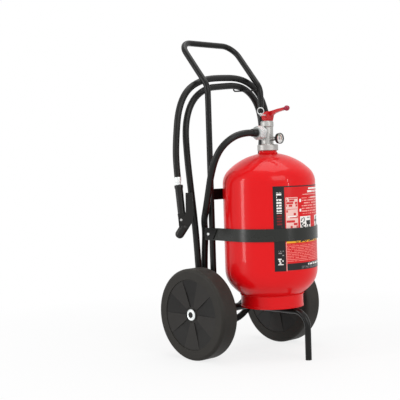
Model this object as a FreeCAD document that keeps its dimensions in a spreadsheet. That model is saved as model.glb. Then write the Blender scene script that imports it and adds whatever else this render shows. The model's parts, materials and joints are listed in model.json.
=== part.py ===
import FreeCAD, Part
import math
import os

import Sketcher

# A wheeled fire extinguisher: a red powder tank on a black two-wheeled tube trolley, with its
# discharge hose hung in two long loops behind the handle. Millimetres, +Z up. The origin is on
# the floor, midway between the trolley's sides and midway from the front foot to the wheels' rear.
# The trolley's front looks along -Y, and left is -X.

Vector = FreeCAD.Vector
doc = FreeCAD.newDocument("wheeled_extinguisher")
sheet = doc.addObject("Spreadsheet::Sheet", "Sizes")


class Size:
    """A length that knows both its number and the sheet's expression for it."""

    def __init__(self, number, text):
        self.number = float(number)
        self.text = text

    def __add__(self, other):
        other = as_size(other)
        return Size(self.number + other.number, "(%s + %s)" % (self.text, other.text))

    def __sub__(self, other):
        other = as_size(other)
        return Size(self.number - other.number, "(%s - %s)" % (self.text, other.text))

    def __mul__(self, other):
        other = as_size(other)
        return Size(self.number * other.number, "(%s * %s)" % (self.text, other.text))

    def __truediv__(self, other):
        other = as_size(other)
        return Size(self.number / other.number, "(%s / %s)" % (self.text, other.text))

    def __radd__(self, other):
        return as_size(other) + self

    def __rsub__(self, other):
        return as_size(other) - self

    def __rmul__(self, other):
        return as_size(other) * self

    def __rtruediv__(self, other):
        return as_size(other) / self

    def __neg__(self):
        return self * -1

    def root(self):
        return Size(math.sqrt(self.number), "sqrt(%s)" % self.text)


def as_size(value):
    if isinstance(value, Size):
        return value
    return Size(value, "%.6g" % value)


def driving(alias, number):
    """One driving dimension: a cell of the sheet with its alias."""
    driving.row += 1
    sheet.set("A%d" % driving.row, alias)
    sheet.set("B%d" % driving.row, "%.6g" % number)
    sheet.setAlias("B%d" % driving.row, alias)
    return Size(number, "Sizes." + alias)


driving.row = 0

# The tank: a rolled cylinder with two dished ends.
tank_radius = driving("tank_radius", 150)
tank_wall = driving("tank_wall", 3)
tank_y = driving("tank_y", -65)
top_knuckle = driving("top_knuckle", 60)
top_crown = driving("top_crown", 187)
top_knuckle_z = driving("top_knuckle_z", 562)
bottom_knuckle = driving("bottom_knuckle", 80)
bottom_crown = driving("bottom_crown", 175)
bottom_knuckle_z = driving("bottom_knuckle_z", 283)
skirt_radius = driving("skirt_radius", 101)
skirt_wall = driving("skirt_wall", 3)

# The neck and the valve on it.
neck_bore = driving("neck_bore", 20)
neck_hole = driving("neck_hole", 25)
neck_radius = driving("neck_radius", 29)
neck_top = driving("neck_top", 666)
collar_radius = driving("collar_radius", 33.7)
collar_top = driving("collar_top", 686)
valve_radius = driving("valve_radius", 19.2)
valve_top = driving("valve_top", 762)
outlet_z = driving("outlet_z", 724)
gauge_z = driving("gauge_z", 704)
gauge_radius = driving("gauge_radius", 17.5)
nut_flats = driving("nut_flats", 40)
pivot_z = driving("pivot_z", 776)
pivot_ahead = driving("pivot_ahead", 3.5)

# The trolley's tubes and wheels.
tube_radius = driving("tube_radius", 10)
tube_wall = driving("tube_wall", 1.5)
leg_half = driving("leg_half", 127)
axle_y = driving("axle_y", 75)
kink_z = driving("kink_z", 882)
handle_y = driving("handle_y", 203)
handle_z = driving("handle_z", 1038)
kink_bend = driving("kink_bend", 60)
handle_bend = driving("handle_bend", 50)
base_z = driving("base_z", 152)
foot_y = driving("foot_y", -212)
axle_tube_radius = driving("axle_tube_radius", 12.5)
axle_tube_half = driving("axle_tube_half", 174.5)
axle_radius = driving("axle_radius", 8)
axle_end_radius = driving("axle_end_radius", 6.5)
wheel_radius = driving("wheel_radius", 148)
wheel_half_width = driving("wheel_half_width", 34)
wheel_x = driving("wheel_x", 203.5)
tyre_shoulder = driving("tyre_shoulder", 10.7)
rim_radius = driving("rim_radius", 113.5)
hub_radius = driving("hub_radius", 22)
hub_half = driving("hub_half", 26)
bush_radius = driving("bush_radius", 12)

# The clamp band and the straps.
band_z = driving("band_z", 401)
band_height = driving("band_height", 40)
band_wall = driving("band_wall", 3)
band_end = driving("band_end", 161)
clamp_x = driving("clamp_x", 137.1)
bolt_y = driving("bolt_y", 77)
bolt_radius = driving("bolt_radius", 3)
strap_low = driving("strap_low", 511)
strap_height = driving("strap_height", 36)

# The hose.
hose_radius = driving("hose_radius", 11)
coil_y = driving("coil_y", 130)
running_gap = driving("running_gap", 0.05)

doc.recompute()
nodes = {}


def vector(point):
    return Vector(*[as_size(value).number for value in point])


def place(item, at, axis=(0, 0, 1), turn=0):
    """Sets an object's placement: its own Z laid along the axis, its origin bound to the sheet."""
    lay = FreeCAD.Rotation(Vector(0, 0, 1), Vector(*axis))
    spin = FreeCAD.Rotation(Vector(0, 0, 1), turn)
    item.Placement = FreeCAD.Placement(vector(at), lay.multiply(spin))
    for letter, value in zip("xyz", at):
        if isinstance(value, Size):
            item.setExpression("Placement.Base." + letter, value.text)
    return item


def bind(item, name, value):
    setattr(item, name, as_size(value).number)
    if isinstance(value, Size):
        item.setExpression(name, value.text)


def node(name, item):
    item.Label = name
    nodes[name] = item
    return item


def cylinder(name, radius, length, at, axis=(0, 0, 1)):
    item = doc.addObject("Part::Cylinder", name)
    bind(item, "Radius", radius)
    bind(item, "Height", length)
    return place(item, at, axis)


def block(name, sizes, at):
    item = doc.addObject("Part::Box", name)
    for side, size in zip(("Length", "Width", "Height"), sizes):
        bind(item, side, size)
    return place(item, at)


def torus(name, ring_radius, wire_radius, at, axis=(0, 0, 1)):
    item = doc.addObject("Part::Torus", name)
    bind(item, "Radius1", ring_radius)
    bind(item, "Radius2", wire_radius)
    return place(item, at, axis)


def fuse(name, *items):
    item = doc.addObject("Part::MultiFuse", name)
    item.Shapes = list(items)
    return item


def cut(name, base, *tools):
    tool = tools[0] if len(tools) == 1 else fuse(name + "_cutters", *tools)
    item = doc.addObject("Part::Cut", name)
    item.Base = base
    item.Tool = tool
    return item


def common(name, base, tool):
    item = doc.addObject("Part::Common", name)
    item.Base = base
    item.Tool = tool
    return item


def group(name, *items):
    item = doc.addObject("Part::Compound", name)
    item.Links = list(items)
    return item


def solid(name, shape):
    """A piece whose form neither a sketch nor a primitive gives."""
    item = doc.addObject("Part::Feature", name)
    item.Shape = shape
    return item


def origin_plane(body, role):
    for feature in body.Origin.OriginFeatures:
        if feature.Role == role:
            return feature
    raise ValueError(role)


def edge_between(start, end, radius):
    """A straight edge, or an arc: a positive radius bulges to the right of the way it goes."""
    if radius is None:
        return Part.LineSegment(start, end)
    number = abs(as_size(radius).number)
    chord = end - start
    half = chord.Length / 2
    rise = number - math.sqrt(max(number * number - half * half, 0))
    side = Vector(chord.y, -chord.x, 0).normalize()
    if as_size(radius).number < 0:
        side = side * -1
    return Part.Arc(start, (start + end) * 0.5 + side * rise, end)


def tie(sketch, direction, geometry, end, value):
    """Fixes one coordinate of a sketch point, bound to the sheet where the value is."""
    value = as_size(value)
    axis = -2 if direction == "DistanceX" else -1
    if abs(value.number) < 1e-9:
        sketch.addConstraint(Sketcher.Constraint("PointOnObject", geometry, end, axis))
        return
    if value.number > 0:
        rule = Sketcher.Constraint(direction, -1, 1, geometry, end, value.number)
        text = value.text
    else:
        rule = Sketcher.Constraint(direction, geometry, end, -1, 1, -value.number)
        text = "-" + value.text
    index = sketch.addConstraint(rule)
    if "Sizes." in text:
        sketch.setExpression("Constraints[%d]" % index, text)


def outline(body, role, loops, circles=()):
    """A sketch of closed loops. A corner is (across, up) or (across, up, radius of the next edge)."""
    sketch = body.newObject("Sketcher::SketchObject", body.Name + "_sketch")
    sketch.AttachmentSupport = (origin_plane(body, role), [""])
    sketch.MapMode = "FlatFace"
    for loop in loops:
        starts = []
        for index, corner in enumerate(loop):
            following = loop[(index + 1) % len(loop)]
            start = Vector(as_size(corner[0]).number, as_size(corner[1]).number, 0)
            end = Vector(as_size(following[0]).number, as_size(following[1]).number, 0)
            radius = corner[2] if len(corner) > 2 else None
            geometry = sketch.addGeometry(edge_between(start, end, radius))
            first = 1 if (sketch.getPoint(geometry, 1) - start).Length < 1e-5 else 2
            starts.append((geometry, first, 3 - first, corner, radius))
        for index, (geometry, first, last, corner, radius) in enumerate(starts):
            other = starts[(index + 1) % len(starts)]
            sketch.addConstraint(Sketcher.Constraint("Coincident", geometry, last, other[0], other[1]))
            tie(sketch, "DistanceX", geometry, first, corner[0])
            tie(sketch, "DistanceY", geometry, first, corner[1])
            if radius is not None:
                size = as_size(radius)
                text = size.text if size.number > 0 else "-" + size.text
                rule = Sketcher.Constraint("Radius", geometry, abs(size.number))
                rule_index = sketch.addConstraint(rule)
                if "Sizes." in text:
                    sketch.setExpression("Constraints[%d]" % rule_index, text)
    for across, up, radius in circles:
        centre = Vector(as_size(across).number, as_size(up).number, 0)
        geometry = sketch.addGeometry(Part.Circle(centre, Vector(0, 0, 1), as_size(radius).number))
        tie(sketch, "DistanceX", geometry, 3, across)
        tie(sketch, "DistanceY", geometry, 3, up)
        index = sketch.addConstraint(Sketcher.Constraint("Radius", geometry, as_size(radius).number))
        if isinstance(radius, Size):
            sketch.setExpression("Constraints[%d]" % index, radius.text)
    return sketch


def turned(name, profile, at=(0, 0, 0), axis=(0, 0, 1)):
    """A turned piece: a half profile of (radius, height) corners spun about the piece's own Z."""
    body = doc.addObject("PartDesign::Body", name)
    sketch = outline(body, "XZ_Plane", [profile])
    spin = body.newObject("PartDesign::Revolution", name + "_turned")
    spin.Profile = sketch
    spin.ReferenceAxis = (sketch, ["V_Axis"])
    spin.Angle = 360
    return place(body, at, axis)


def plate(name, role, loops, thickness, at=(0, 0, 0), circles=(), turn=0):
    """A flat piece: loops on one of its own planes, padded half to each side."""
    body = doc.addObject("PartDesign::Body", name)
    sketch = outline(body, role, loops, circles)
    pad = body.newObject("PartDesign::Pad", name + "_pad")
    pad.Profile = sketch
    pad.Midplane = True
    bind(pad, "Length", thickness)
    return place(body, at, turn=turn)


def hex_prism(name, flats, length, at, axis, turn=0):
    """A hexagonal bar with two flats lying up and down when its axis is level."""
    corner = flats / 2 / math.cos(math.pi / 6)
    body = doc.addObject("PartDesign::Body", name)
    loop = [(corner * math.cos(math.pi / 3 * k), corner * math.sin(math.pi / 3 * k)) for k in range(6)]
    sketch = outline(body, "XY_Plane", [loop])
    pad = body.newObject("PartDesign::Pad", name + "_pad")
    pad.Profile = sketch
    pad.Length = length
    return place(body, at, axis, turn)


def rounded_route(points, radii):
    """Straight runs joined by tangent arcs, one radius for each inner point."""
    points = [vector(point) for point in points]
    edges = []
    here = points[0]
    for index in range(1, len(points) - 1):
        before = (points[index] - points[index - 1]).normalize()
        after = (points[index + 1] - points[index]).normalize()
        half = before.getAngle(after) / 2
        back = radii[index - 1] * math.tan(half)
        start = points[index] - before * back
        end = points[index] + after * back
        inward = (after - before).normalize()
        middle = points[index] + inward * (radii[index - 1] / math.cos(half) - radii[index - 1])
        if (start - here).Length > 1e-6:
            edges.append(Part.LineSegment(here, start).toShape())
        edges.append(Part.Arc(start, middle, end).toShape())
        here = end
    edges.append(Part.LineSegment(here, points[-1]).toShape())
    return Part.Wire(edges)


def sweep(route, radius):
    """A round bar along a route that starts with a straight run."""
    first = route.Edges[0]
    start = first.valueAt(first.FirstParameter)
    along = first.tangentAt(first.FirstParameter)
    ring = Part.Wire(Part.Circle(start, along, as_size(radius).number).toShape())
    return route.makePipeShell([ring], True, False)


def soft_radii(points):
    """A cord's bend radii: as large as the two runs at each point allow."""
    points = [vector(point) for point in points]
    radii = []
    for index in range(1, len(points) - 1):
        before = points[index] - points[index - 1]
        after = points[index + 1] - points[index]
        half = before.getAngle(after) / 2
        radii.append(0.45 * min(before.Length, after.Length) / math.tan(half))
    return radii


# The tank

dip_low = 200


def dome(knuckle, crown, knuckle_z, inset, upward):
    """The dished end's crown centre, the point where crown meets knuckle, and both radii."""
    across = tank_radius - knuckle
    reach = crown - knuckle
    drop = (reach * reach - across * across).root()
    knuckle_in = knuckle - inset
    crown_in = crown - inset
    seam_radius = across * crown_in / reach
    if upward:
        centre = knuckle_z - drop
        seam_z = centre + drop * crown_in / reach
    else:
        centre = knuckle_z + drop
        seam_z = centre - drop * crown_in / reach
    return centre, seam_radius, seam_z, knuckle_in, crown_in


def crown_height(centre, crown, radius, upward):
    """Height of the crown's sphere over a radius from the tank's axis."""
    rise = (crown * crown - radius * radius).root()
    return centre + rise if upward else centre - rise


def build_tank():
    top = dome(top_knuckle, top_crown, top_knuckle_z, 0, True)
    top_in = dome(top_knuckle, top_crown, top_knuckle_z, tank_wall, True)
    low = dome(bottom_knuckle, bottom_crown, bottom_knuckle_z, 0, False)
    low_in = dome(bottom_knuckle, bottom_crown, bottom_knuckle_z, tank_wall, False)
    inner = tank_radius - tank_wall
    profile = [
        (0, low[0] - low[4], low[4]),
        (low[1], low[2], low[3]),
        (tank_radius, bottom_knuckle_z),
        (tank_radius, top_knuckle_z, top[3]),
        (top[1], top[2], top[4]),
        (neck_hole, crown_height(top[0], top[4], neck_hole, True)),
        (neck_hole, crown_height(top_in[0], top_in[4], neck_hole, True), -top_in[4]),
        (top_in[1], top_in[2], -top_in[3]),
        (inner, top_knuckle_z),
        (inner, bottom_knuckle_z, -low_in[3]),
        (low_in[1], low_in[2], -low_in[4]),
        (0, low_in[0] - low_in[4]),
    ]
    node("tank_shell", turned("tank_shell", profile, (0, tank_y, 0)))

    # The neck boss is set in the tank's top hole; the valve's collar sits on it.
    seat = crown_height(top[0], top[4], neck_hole, True) + 0.2
    neck = [
        (neck_bore, neck_top - 26), (neck_hole, neck_top - 26), (neck_hole, seat),
        (neck_radius, seat), (neck_radius, neck_top), (neck_bore, neck_top),
    ]
    node("neck_ring", turned("neck_ring", neck, (0, tank_y, 0)))

    # The skirt stands on the base tube and carries the tank's dished bottom.
    outer_top = crown_height(low[0], low[4], skirt_radius, False) - 0.1
    inner_top = crown_height(low[0], low[4], skirt_radius - skirt_wall, False) - 0.1
    skirt_low = base_z + tube_radius
    lip = 5
    skirt = [
        (skirt_radius - skirt_wall, skirt_low + 0.05), (skirt_radius + 1.2, skirt_low + 0.05),
        (skirt_radius + 1.2, skirt_low + lip), (skirt_radius, skirt_low + lip + 2),
        (skirt_radius, outer_top), (skirt_radius - skirt_wall, inner_top),
    ]
    node("foot_ring", turned("foot_ring", skirt, (0, tank_y, 0)))

    # The pickup tube hangs from the valve nearly to the tank's bottom.
    outside = cylinder("dip_outside", dip_radius, stub_low + 4 - dip_low, (0, tank_y, dip_low))
    inside = cylinder("dip_inside", dip_radius - 2, stub_low + 4 - dip_low, (0, tank_y, dip_low))
    node("dip_tube", cut("dip_tube", outside, inside))


label_gap = 0.05
label_wall = 0.2
label_low = 288
label_high = 553
label_from = 226
label_to = 314


def build_label():
    """The label is a thin skin on the tank's front, under the clamp band."""
    inner = Part.makeCylinder(tank_radius.number + label_gap, label_high - label_low,
                              Vector(0, tank_y.number, label_low), Vector(0, 0, 1), label_to - label_from)
    outer = Part.makeCylinder(tank_radius.number + label_gap + label_wall, label_high - label_low,
                              Vector(0, tank_y.number, label_low), Vector(0, 0, 1), label_to - label_from)
    skin = outer.cut(inner)
    skin.rotate(Vector(0, tank_y.number, 0), Vector(0, 0, 1), label_from)
    node("label_skin", solid("label_skin", skin))


# The valve

outlet_way = (-1, 0, 0)
nut_reach = 25
nut_length = 30
tail_radius = 12.6
tail_length = 19
side_radius = 14
thread_radius = 11.4
ear_half = 12
ear_gap = 8
ear_radius = 9.8
ear_foot_depth = 12
pin_radius = 2.5
cam_radius = 9
cam_rise = 4.5
spindle_radius = 4
spindle_head = 5
stub_low = 636
chamber_low = 690
chamber_radius = 9
seat_z = 712
guide_low = 736
dip_radius = 11
gauge_thread = 2.9
gauge_back = 26
gauge_front = 56
pivot_y = tank_y - pivot_ahead
# The safety pin's place, from the lever's pivot.
lock_pin = 1.6
lock_dy = -5.4
lock_dz = 4.5
lock_radius = math.hypot(lock_dy, lock_dz)
lever_travel = 60


def along_outlet(distance):
    """A point on the outlet's axis, this far from the tank's axis."""
    return (-distance, tank_y, outlet_z)


def build_valve():
    # The collar is a threaded ring with eight shallow grip flats.
    ring = turned("collar_blank", [
        (neck_bore, neck_top + 2), (collar_radius - 1, neck_top), (collar_radius, neck_top + 1.5),
        (collar_radius, collar_top - 2), (collar_radius - 2, collar_top), (neck_bore, collar_top),
    ], (0, tank_y, 0))
    notches = []
    for index in range(8):
        angle = math.radians(45 * index + 22.5)
        notches.append(cylinder("collar_notch_%d" % index, 2.2, 24,
                                (36 * math.sin(angle), tank_y + 36 * math.cos(angle), neck_top - 2)))
    node("collar_nut", cut("collar_nut", ring, *notches))
    node("neck_seal", turned("neck_seal", [
        (neck_bore + 0.5, neck_top), (neck_radius - 2, neck_top),
        (neck_bore + 0.5, neck_top + 1.8),
    ], (0, tank_y, 0)))

    # The body: a turned column with a stub down through the neck, a side outlet, a gauge boss
    # and a pair of ears that carry the lever's pin.
    column = turned("valve_column", [
        (0, stub_low), (15, stub_low), (neck_bore - 0.05, stub_low + 4),
        (neck_bore - 0.05, collar_top + 1), (valve_radius, collar_top + 3), (valve_radius, 741),
        (valve_radius + 1.6, 745), (valve_radius + 1.6, valve_top - 4), (valve_radius, valve_top),
        (0, valve_top),
    ], (0, tank_y, 0))
    side = cylinder("valve_side", side_radius, nut_reach + 2.5, (0, tank_y, outlet_z), outlet_way)
    thread = cylinder("valve_thread", thread_radius, nut_reach + 9, (0, tank_y, outlet_z), outlet_way)
    boss = cylinder("valve_boss", 7, gauge_back, (0, tank_y, gauge_z), (0, -1, 0))
    ear_top = cylinder("valve_ear_top", ear_radius, ear_half * 2, (-ear_half, pivot_y, pivot_z), (1, 0, 0))
    ear_foot = block("valve_ear_foot", (ear_half * 2, ear_foot_depth, 16),
                     (-ear_half, pivot_y - ear_foot_depth / 2, valve_top - 1))
    slot = block("valve_slot", (ear_gap * 2, 40, 40), (-ear_gap, tank_y - 20, valve_top + 1))
    pin_hole = cylinder("valve_pin_hole", pin_radius, 40, (-20, pivot_y, pivot_z), (1, 0, 0))
    lock_hole = cylinder("valve_lock_hole", lock_pin + 0.1, 26, (-30, pivot_y + lock_dy, pivot_z + lock_dz),
                         (1, 0, 0))
    chamber = cylinder("valve_chamber", chamber_radius, seat_z - chamber_low, (0, tank_y, chamber_low))
    passage = cylinder("valve_passage", 7, guide_low - seat_z + 1, (0, tank_y, seat_z - 1))
    guide = cylinder("valve_guide", spindle_radius + running_gap, 32, (0, tank_y, guide_low - 1))
    inlet = cylinder("valve_inlet", 5, 62, (0, tank_y, stub_low - 1))
    outlet = cylinder("valve_outlet", 6, 40, (0, tank_y, outlet_z), outlet_way)
    gauge_hole = cylinder("valve_gauge_hole", gauge_thread + 0.1, 30, (0, tank_y, gauge_z), (0, -1, 0))
    dip_seat = cylinder("valve_dip_seat", dip_radius, 4, (0, tank_y, stub_low))
    form = fuse("valve_form", column, side, thread, boss, ear_top, ear_foot)
    node("valve_body", cut("valve_body", form, slot, pin_hole, lock_hole, chamber, passage, guide, inlet,
                           outlet, gauge_hole, dip_seat))

    # The spindle: its head under the cam, its disc held up against the seat by the spring.
    top = pivot_z + cam_rise - cam_radius - 0.15
    disc_top = seat_z - 0.1
    disc_low = disc_top - 3.5
    node("valve_spindle", turned("valve_spindle", [
        (0, disc_top), (spindle_radius, disc_top), (spindle_radius, top - 2.4), (spindle_head, top - 2.4),
        (spindle_head, top), (0, top),
    ], (0, tank_y, 0)))
    node("valve_disc", turned("valve_disc", [
        (0, disc_low), (chamber_radius - 0.6, disc_low), (chamber_radius - 0.6, disc_top), (0, disc_top),
    ], (0, tank_y, 0)))
    build_valve_spring(disc_low)

    # The nut and the crimped sleeve that hold the hose on the outlet.
    prism = hex_prism("nut_prism", nut_flats, nut_length, along_outlet(nut_reach), outlet_way, 49)
    corner = nut_flats.number / 2 / math.cos(math.pi / 6)
    bevel = turned("nut_bevel", [
        (0, 0), (corner - 2, 0), (corner + 0.5, 2), (corner + 0.5, nut_length - 5),
        (corner - 6, nut_length), (0, nut_length),
    ], along_outlet(nut_reach), outlet_way)
    nut_hole = cylinder("nut_hole", 14.05, 3, along_outlet(nut_reach - 0.01), outlet_way)
    nut_thread = cylinder("nut_thread", 11.45, 10, along_outlet(nut_reach), outlet_way)
    nut_bore = cylinder("nut_bore", 9.05, 40, along_outlet(nut_reach), outlet_way)
    node("outlet_nut", cut("outlet_nut", common("nut_form", prism, bevel), nut_hole, nut_thread, nut_bore))
    tail_start = nut_reach + nut_length
    sleeve = turned("tail_sleeve", [
        (6.5, 0), (tail_radius, 0), (tail_radius, 3), (tail_radius - 0.9, 4.2), (tail_radius, 5.4),
        (tail_radius, 8), (tail_radius - 0.9, 9.2), (tail_radius, 10.4), (tail_radius, 13),
        (tail_radius - 0.9, 14.2), (tail_radius, 15.4), (tail_radius, tail_length - 1),
        (tail_radius - 1, tail_length), (6.5, tail_length),
    ], along_outlet(tail_start + 0.02), outlet_way)
    stem = cylinder("tail_stem", 9, nut_length - 11, along_outlet(tail_start - nut_length + 12), outlet_way)
    stem_bore = cylinder("tail_bore", 6.5, 50, along_outlet(tail_start - 30), outlet_way)
    node("hose_tail", cut("hose_tail", fuse("tail_form", sleeve, stem), stem_bore))


spring_mean = 6.4
spring_wire = 0.8
spring_turns = 5


def wound_wire(mean_radius, wire_radius, height, turns):
    """A coil spring's wire along Z, an arc for each quarter turn."""
    steps = turns * 4
    rise = height / steps

    def spot(step):
        angle = math.pi / 2 * step
        return Vector(mean_radius * math.cos(angle), mean_radius * math.sin(angle), rise * step)

    edges = [Part.Arc(spot(step), spot(step + 0.5), spot(step + 1)).toShape() for step in range(steps)]
    along = edges[0].tangentAt(edges[0].FirstParameter)
    ring = Part.Wire(Part.Circle(spot(0), along, wire_radius).toShape())
    return Part.Wire(edges).makePipeShell([ring], True, False)


def build_valve_spring(disc_low):
    """A five-turn compression spring under the disc, as one unbroken wire."""
    low = chamber_low + spring_wire + 0.1
    high = disc_low - spring_wire - 0.1
    wire = wound_wire(spring_mean, spring_wire, high - low, spring_turns)
    wire.translate(Vector(0, tank_y.number, low))
    node("valve_spring", solid("valve_spring", wire))


# The lever on top

cheek_out = 16
cheek_in = 12.4
cheek_radius = 11.8
web_in = 10.3
arm_half = 6
arm_end = 72
arm_end_height = 21.6
knob_way = (0, -0.995, 0.0995)


def build_lever():
    """The red yoke: two cheeks, the web over the ears, a cam between them and the arm in front."""
    pivot = (0, pivot_y, pivot_z)
    drum = cylinder("lever_drum", cheek_radius, cheek_out * 2, (-cheek_out, pivot_y, pivot_z), (1, 0, 0))
    hood = plate("lever_hood", "YZ_Plane", [[
        (-15, 10), (-8.6, -13.5), (0, -13.6), (8.2, -11), (11, -8), (12.8, 8), (-8, 16.4), (-15, 16.8),
    ]], cheek_out * 2, pivot)
    shell = fuse("lever_shell", drum, hood)
    swing = cylinder("lever_swing", web_in, cheek_in * 2, (-cheek_in, pivot_y, pivot_z), (1, 0, 0))
    behind = block("lever_behind", (cheek_in * 2, 40, 42), (-cheek_in, pivot_y, pivot_z - 34))
    below = block("lever_below", (cheek_in * 2, 14, 24), (-cheek_in, pivot_y - 7, pivot_z - 24))
    yoke = cut("lever_yoke", shell, swing, behind, below)
    cam_half = ear_gap - 0.4
    cam = cylinder("lever_cam", cam_radius, cam_half * 2, (-cam_half, tank_y, pivot_z + cam_rise), (1, 0, 0))
    bridge = block("lever_bridge", (cam_half * 2, 11, 12), (-cam_half, pivot_y - 4, pivot_z + 4))
    arm = plate("lever_arm", "YZ_Plane", [[
        (-13.4, 4), (-13.4, 16.9), (-30, 19.5), (-46, 22.5), (0.4 - arm_end, arm_end_height + 4),
        (-0.4 - arm_end, arm_end_height - 4), (-47, 13), (-31, 9), (-21, 3),
    ]], arm_half * 2, pivot)
    body = fuse("lever_form", yoke, cam, bridge, arm)
    hole = cylinder("lever_hole", pin_radius + running_gap, 60, (-30, pivot_y, pivot_z), (1, 0, 0))
    node("lever", cut("lever", body, hole, build_lock_slot()))
    node("lever_knob", turned("lever_knob", [
        (0, 0.02), (5.2, 0.02), (5.6, 2), (8, 6.5, 10), (8, 14, 9), (4, 19.2), (0, 20.2),
    ], (0, pivot_y - arm_end, pivot_z + arm_end_height), knob_way))
    shaft = cylinder("lever_pin_shaft", pin_radius, 33.2, (-16.6, pivot_y, pivot_z), (1, 0, 0))
    heads = [cylinder("lever_pin_head_%d" % index, 3.4, 0.8, (start, pivot_y, pivot_z), (1, 0, 0))
             for index, start in enumerate((-16.9, 16.1))]
    node("lever_pin", fuse("lever_pin", shaft, *heads))


def build_lock_slot():
    """The safety pin's slot in the left cheek, long enough for the lever to swing past the pin."""
    first = math.atan2(lock_dz, lock_dy)
    last = first + math.radians(lever_travel)
    middle = (first + last) / 2
    width = 1.9
    inner = lock_radius - width
    outer = lock_radius + width

    def corner(angle, radius, arc):
        return (radius * math.cos(angle), radius * math.sin(angle), arc)

    end_arc = -(width + 0.001)
    loop = [
        corner(first, inner, inner), corner(middle, inner, inner), corner(last, inner, end_arc),
        corner(last, outer, -outer), corner(middle, outer, -outer), corner(first, outer, end_arc),
    ]
    slot_x = -(cheek_in + cheek_out) / 2
    return plate("lock_slot", "YZ_Plane", [loop], 4.6, (slot_x - 0.4, pivot_y, pivot_z))


def build_safety_pin():
    """The safety pin crosses the left cheek and ear; its ring faces the trolley's front left."""
    lock_y = pivot_y + lock_dy
    lock_z = pivot_z + lock_dz
    shaft = cylinder("safety_shaft", lock_pin, 26.5, (-35, lock_y, lock_z), (1, 0, 0))
    shoulder = cylinder("safety_shoulder", 2.6, 1.6, (-18.2, lock_y, lock_z), (1, 0, 0))
    eye = torus("safety_eye", 4.2, 1.1, (-39.2, lock_y, lock_z + 1.4), (0, 1, 0))
    node("safety_pin", fuse("safety_pin", shaft, shoulder, eye))
    # The ring stands in the eye, its lowest point just above the eye's centre.
    node("pin_ring", torus("pin_ring", 10.4, 1.3, (-39.4, lock_y, lock_z + 12.8), (0.695, 0.719, 0)))
    # The seal's wire loops over the shaft with its bead below.
    wire = torus("seal_wire", 6.2, 0.45, (-24.5, lock_y, lock_z - 4.1), (1, 0.4, 0))
    bead = turned("seal_bead", [
        (0, -2.6), (1.8, -2.2), (2.4, 0), (1.8, 2.2), (0, 2.6),
    ], (-24.5, lock_y, lock_z - 12.2))
    node("tamper_seal", fuse("tamper_seal", wire, bead))


# The pressure gauge

def build_gauge():
    """The gauge screws into the valve's front boss. Heights here run forward from the tank's axis."""
    at = (0, tank_y, gauge_z)
    ahead = (0, -1, 0)
    node("gauge_stem", turned("gauge_stem", [
        (0, gauge_back - 6), (gauge_thread, gauge_back - 6), (gauge_thread, gauge_back + 0.1),
        (6.2, gauge_back + 0.1), (6.2, gauge_back + 10), (4, gauge_back + 11), (4, gauge_front - 12.02),
        (0, gauge_front - 12.02),
    ], at, ahead))
    bezel_in = gauge_radius - 1.6
    floor = gauge_front - 6
    node("gauge_case", turned("gauge_case", [
        (0, gauge_front - 12), (12, gauge_front - 12), (gauge_radius - 1, gauge_front - 10),
        (gauge_radius - 1, gauge_front - 4), (gauge_radius, gauge_front - 3.5),
        (gauge_radius, gauge_front - 0.8), (gauge_radius - 0.6, gauge_front),
        (gauge_radius - 1.1, gauge_front), (bezel_in, gauge_front - 0.8), (bezel_in, floor), (0, floor),
    ], at, ahead))
    dial_radius = bezel_in - 0.05
    node("gauge_dial", turned("gauge_dial", [
        (1.05, floor + 0.05), (dial_radius, floor + 0.05), (dial_radius, floor + 0.8), (1.05, floor + 0.8),
    ], at, ahead))
    hub = cylinder("needle_hub", 1.6, 1.2, (0, tank_y - floor - 1.6, gauge_z), ahead)
    post = cylinder("needle_post", 1, 2.2, (0, tank_y - floor, gauge_z), ahead)
    pointer = plate("needle_pointer", "XZ_Plane", [[(-0.8, -4), (0.8, -4), (0.25, 11.5), (-0.25, 11.5)]],
                    0.5, (0, tank_y - floor - 2.1, gauge_z))
    node("gauge_needle", fuse("gauge_needle", hub, post, pointer))
    node("gauge_lens", turned("gauge_lens", [
        (0, gauge_front - 2.2), (dial_radius, gauge_front - 2.2), (dial_radius, gauge_front - 1),
        (0, gauge_front - 1),
    ], at, ahead))


# The trolley's frame


def handle_route():
    """The bent tube's line: up one leg, back and across as the handle, and down the other leg."""
    return rounded_route([
        (leg_half, axle_y, wheel_radius), (leg_half, axle_y, kink_z), (leg_half, handle_y, handle_z),
        (-leg_half, handle_y, handle_z), (-leg_half, axle_y, kink_z), (-leg_half, axle_y, wheel_radius),
    ], [kink_bend.number, handle_bend.number, handle_bend.number, kink_bend.number])


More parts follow.
